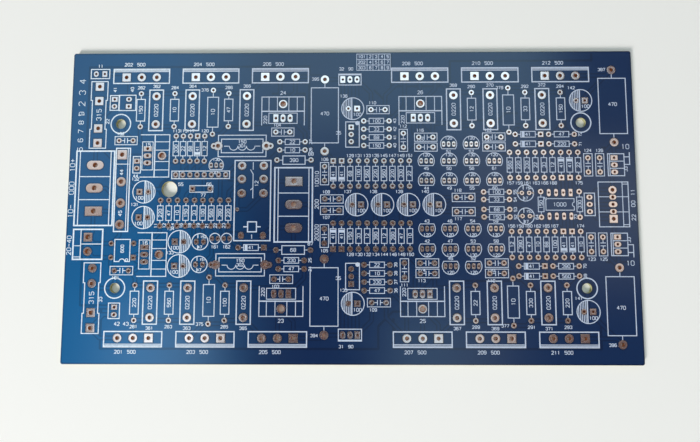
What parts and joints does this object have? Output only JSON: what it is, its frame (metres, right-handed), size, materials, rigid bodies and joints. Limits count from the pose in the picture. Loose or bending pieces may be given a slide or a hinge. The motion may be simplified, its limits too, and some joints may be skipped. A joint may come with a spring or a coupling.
{
  "type": "bare amplifier circuit board",
  "caption": "Bare printed circuit board for a two-channel audio power amplifier, drilled and plated, with solder mask and a printed component layout",
  "frame": {"origin": "middle of the board's underside, at the board's bounding box centre", "axes": "+X along the long side towards the input connector, +Y along the short side towards the upper channel, +Z out of the component side"},
  "size_m": [0.2, 0.11, 0.0016],
  "materials": {
    "laminate": "glass-fibre epoxy laminate, seen at the cut edge and in the plain holes",
    "solder_mask": "glossy blue solder mask",
    "soldered_land": "tinned copper, bright and slightly domed",
    "printed_ink": "white screen-printed ink"
  },
  "bodies": {
    "root": {"laminate": "laminate", "solder_mask_top": "solder_mask", "solder_mask_bottom": "solder_mask", "output_transistor_lands": "soldered_land", "driver_lands": "soldered_land", "bias_transistor_lands": "soldered_land", "small_transistor_lands": "soldered_land", "small_resistor_lands": "soldered_land", "half_watt_resistor_lands": "soldered_land", "two_watt_resistor_lands": "soldered_land", "emitter_resistor_lands": "soldered_land", "ceramic_resistor_lands": "soldered_land", "diode_lands": "soldered_land", "film_capacitor_lands": "soldered_land", "large_can_lands": "soldered_land", "medium_can_lands": "soldered_land", "small_can_lands": "soldered_land", "inductor_lands": "soldered_land", "op_amp_lands": "soldered_land", "input_connector_lands": "soldered_land", "gain_trimmer_lands": "soldered_land", "bias_trimmer_lands": "soldered_land", "pin_header_lands": "soldered_land", "relay_lands": "soldered_land", "speaker_terminal_lands": "soldered_land", "supply_terminal_lands": "soldered_land", "supply_strip_lands": "soldered_land", "ac_terminal_lands": "soldered_land", "rectifier_lands": "soldered_land", "fuse_clip_lands": "soldered_land", "via_land": "soldered_land", "output_transistor_print": "printed_ink", "driver_print": "printed_ink", "bias_transistor_print": "printed_ink", "small_transistor_print": "printed_ink", "small_resistor_print": "printed_ink", "half_watt_resistor_print": "printed_ink", "two_watt_resistor_print": "printed_ink", "emitter_resistor_print": "printed_ink", "ceramic_resistor_print": "printed_ink", "diode_print": "printed_ink", "film_capacitor_print": "printed_ink", "large_can_print": "printed_ink", "medium_can_print": "printed_ink", "small_can_print": "printed_ink", "inductor_print": "printed_ink", "op_amp_print": "printed_ink", "input_connector_print": "printed_ink", "trimmer_print": "printed_ink", "pin_header_print": "printed_ink", "relay_print": "printed_ink", "terminal_print": "printed_ink", "rectifier_print": "printed_ink", "fuse_clip_print": "printed_ink", "mounting_ring_print": "printed_ink", "week_table_print": "printed_ink"}
  },
  "joints": []
}
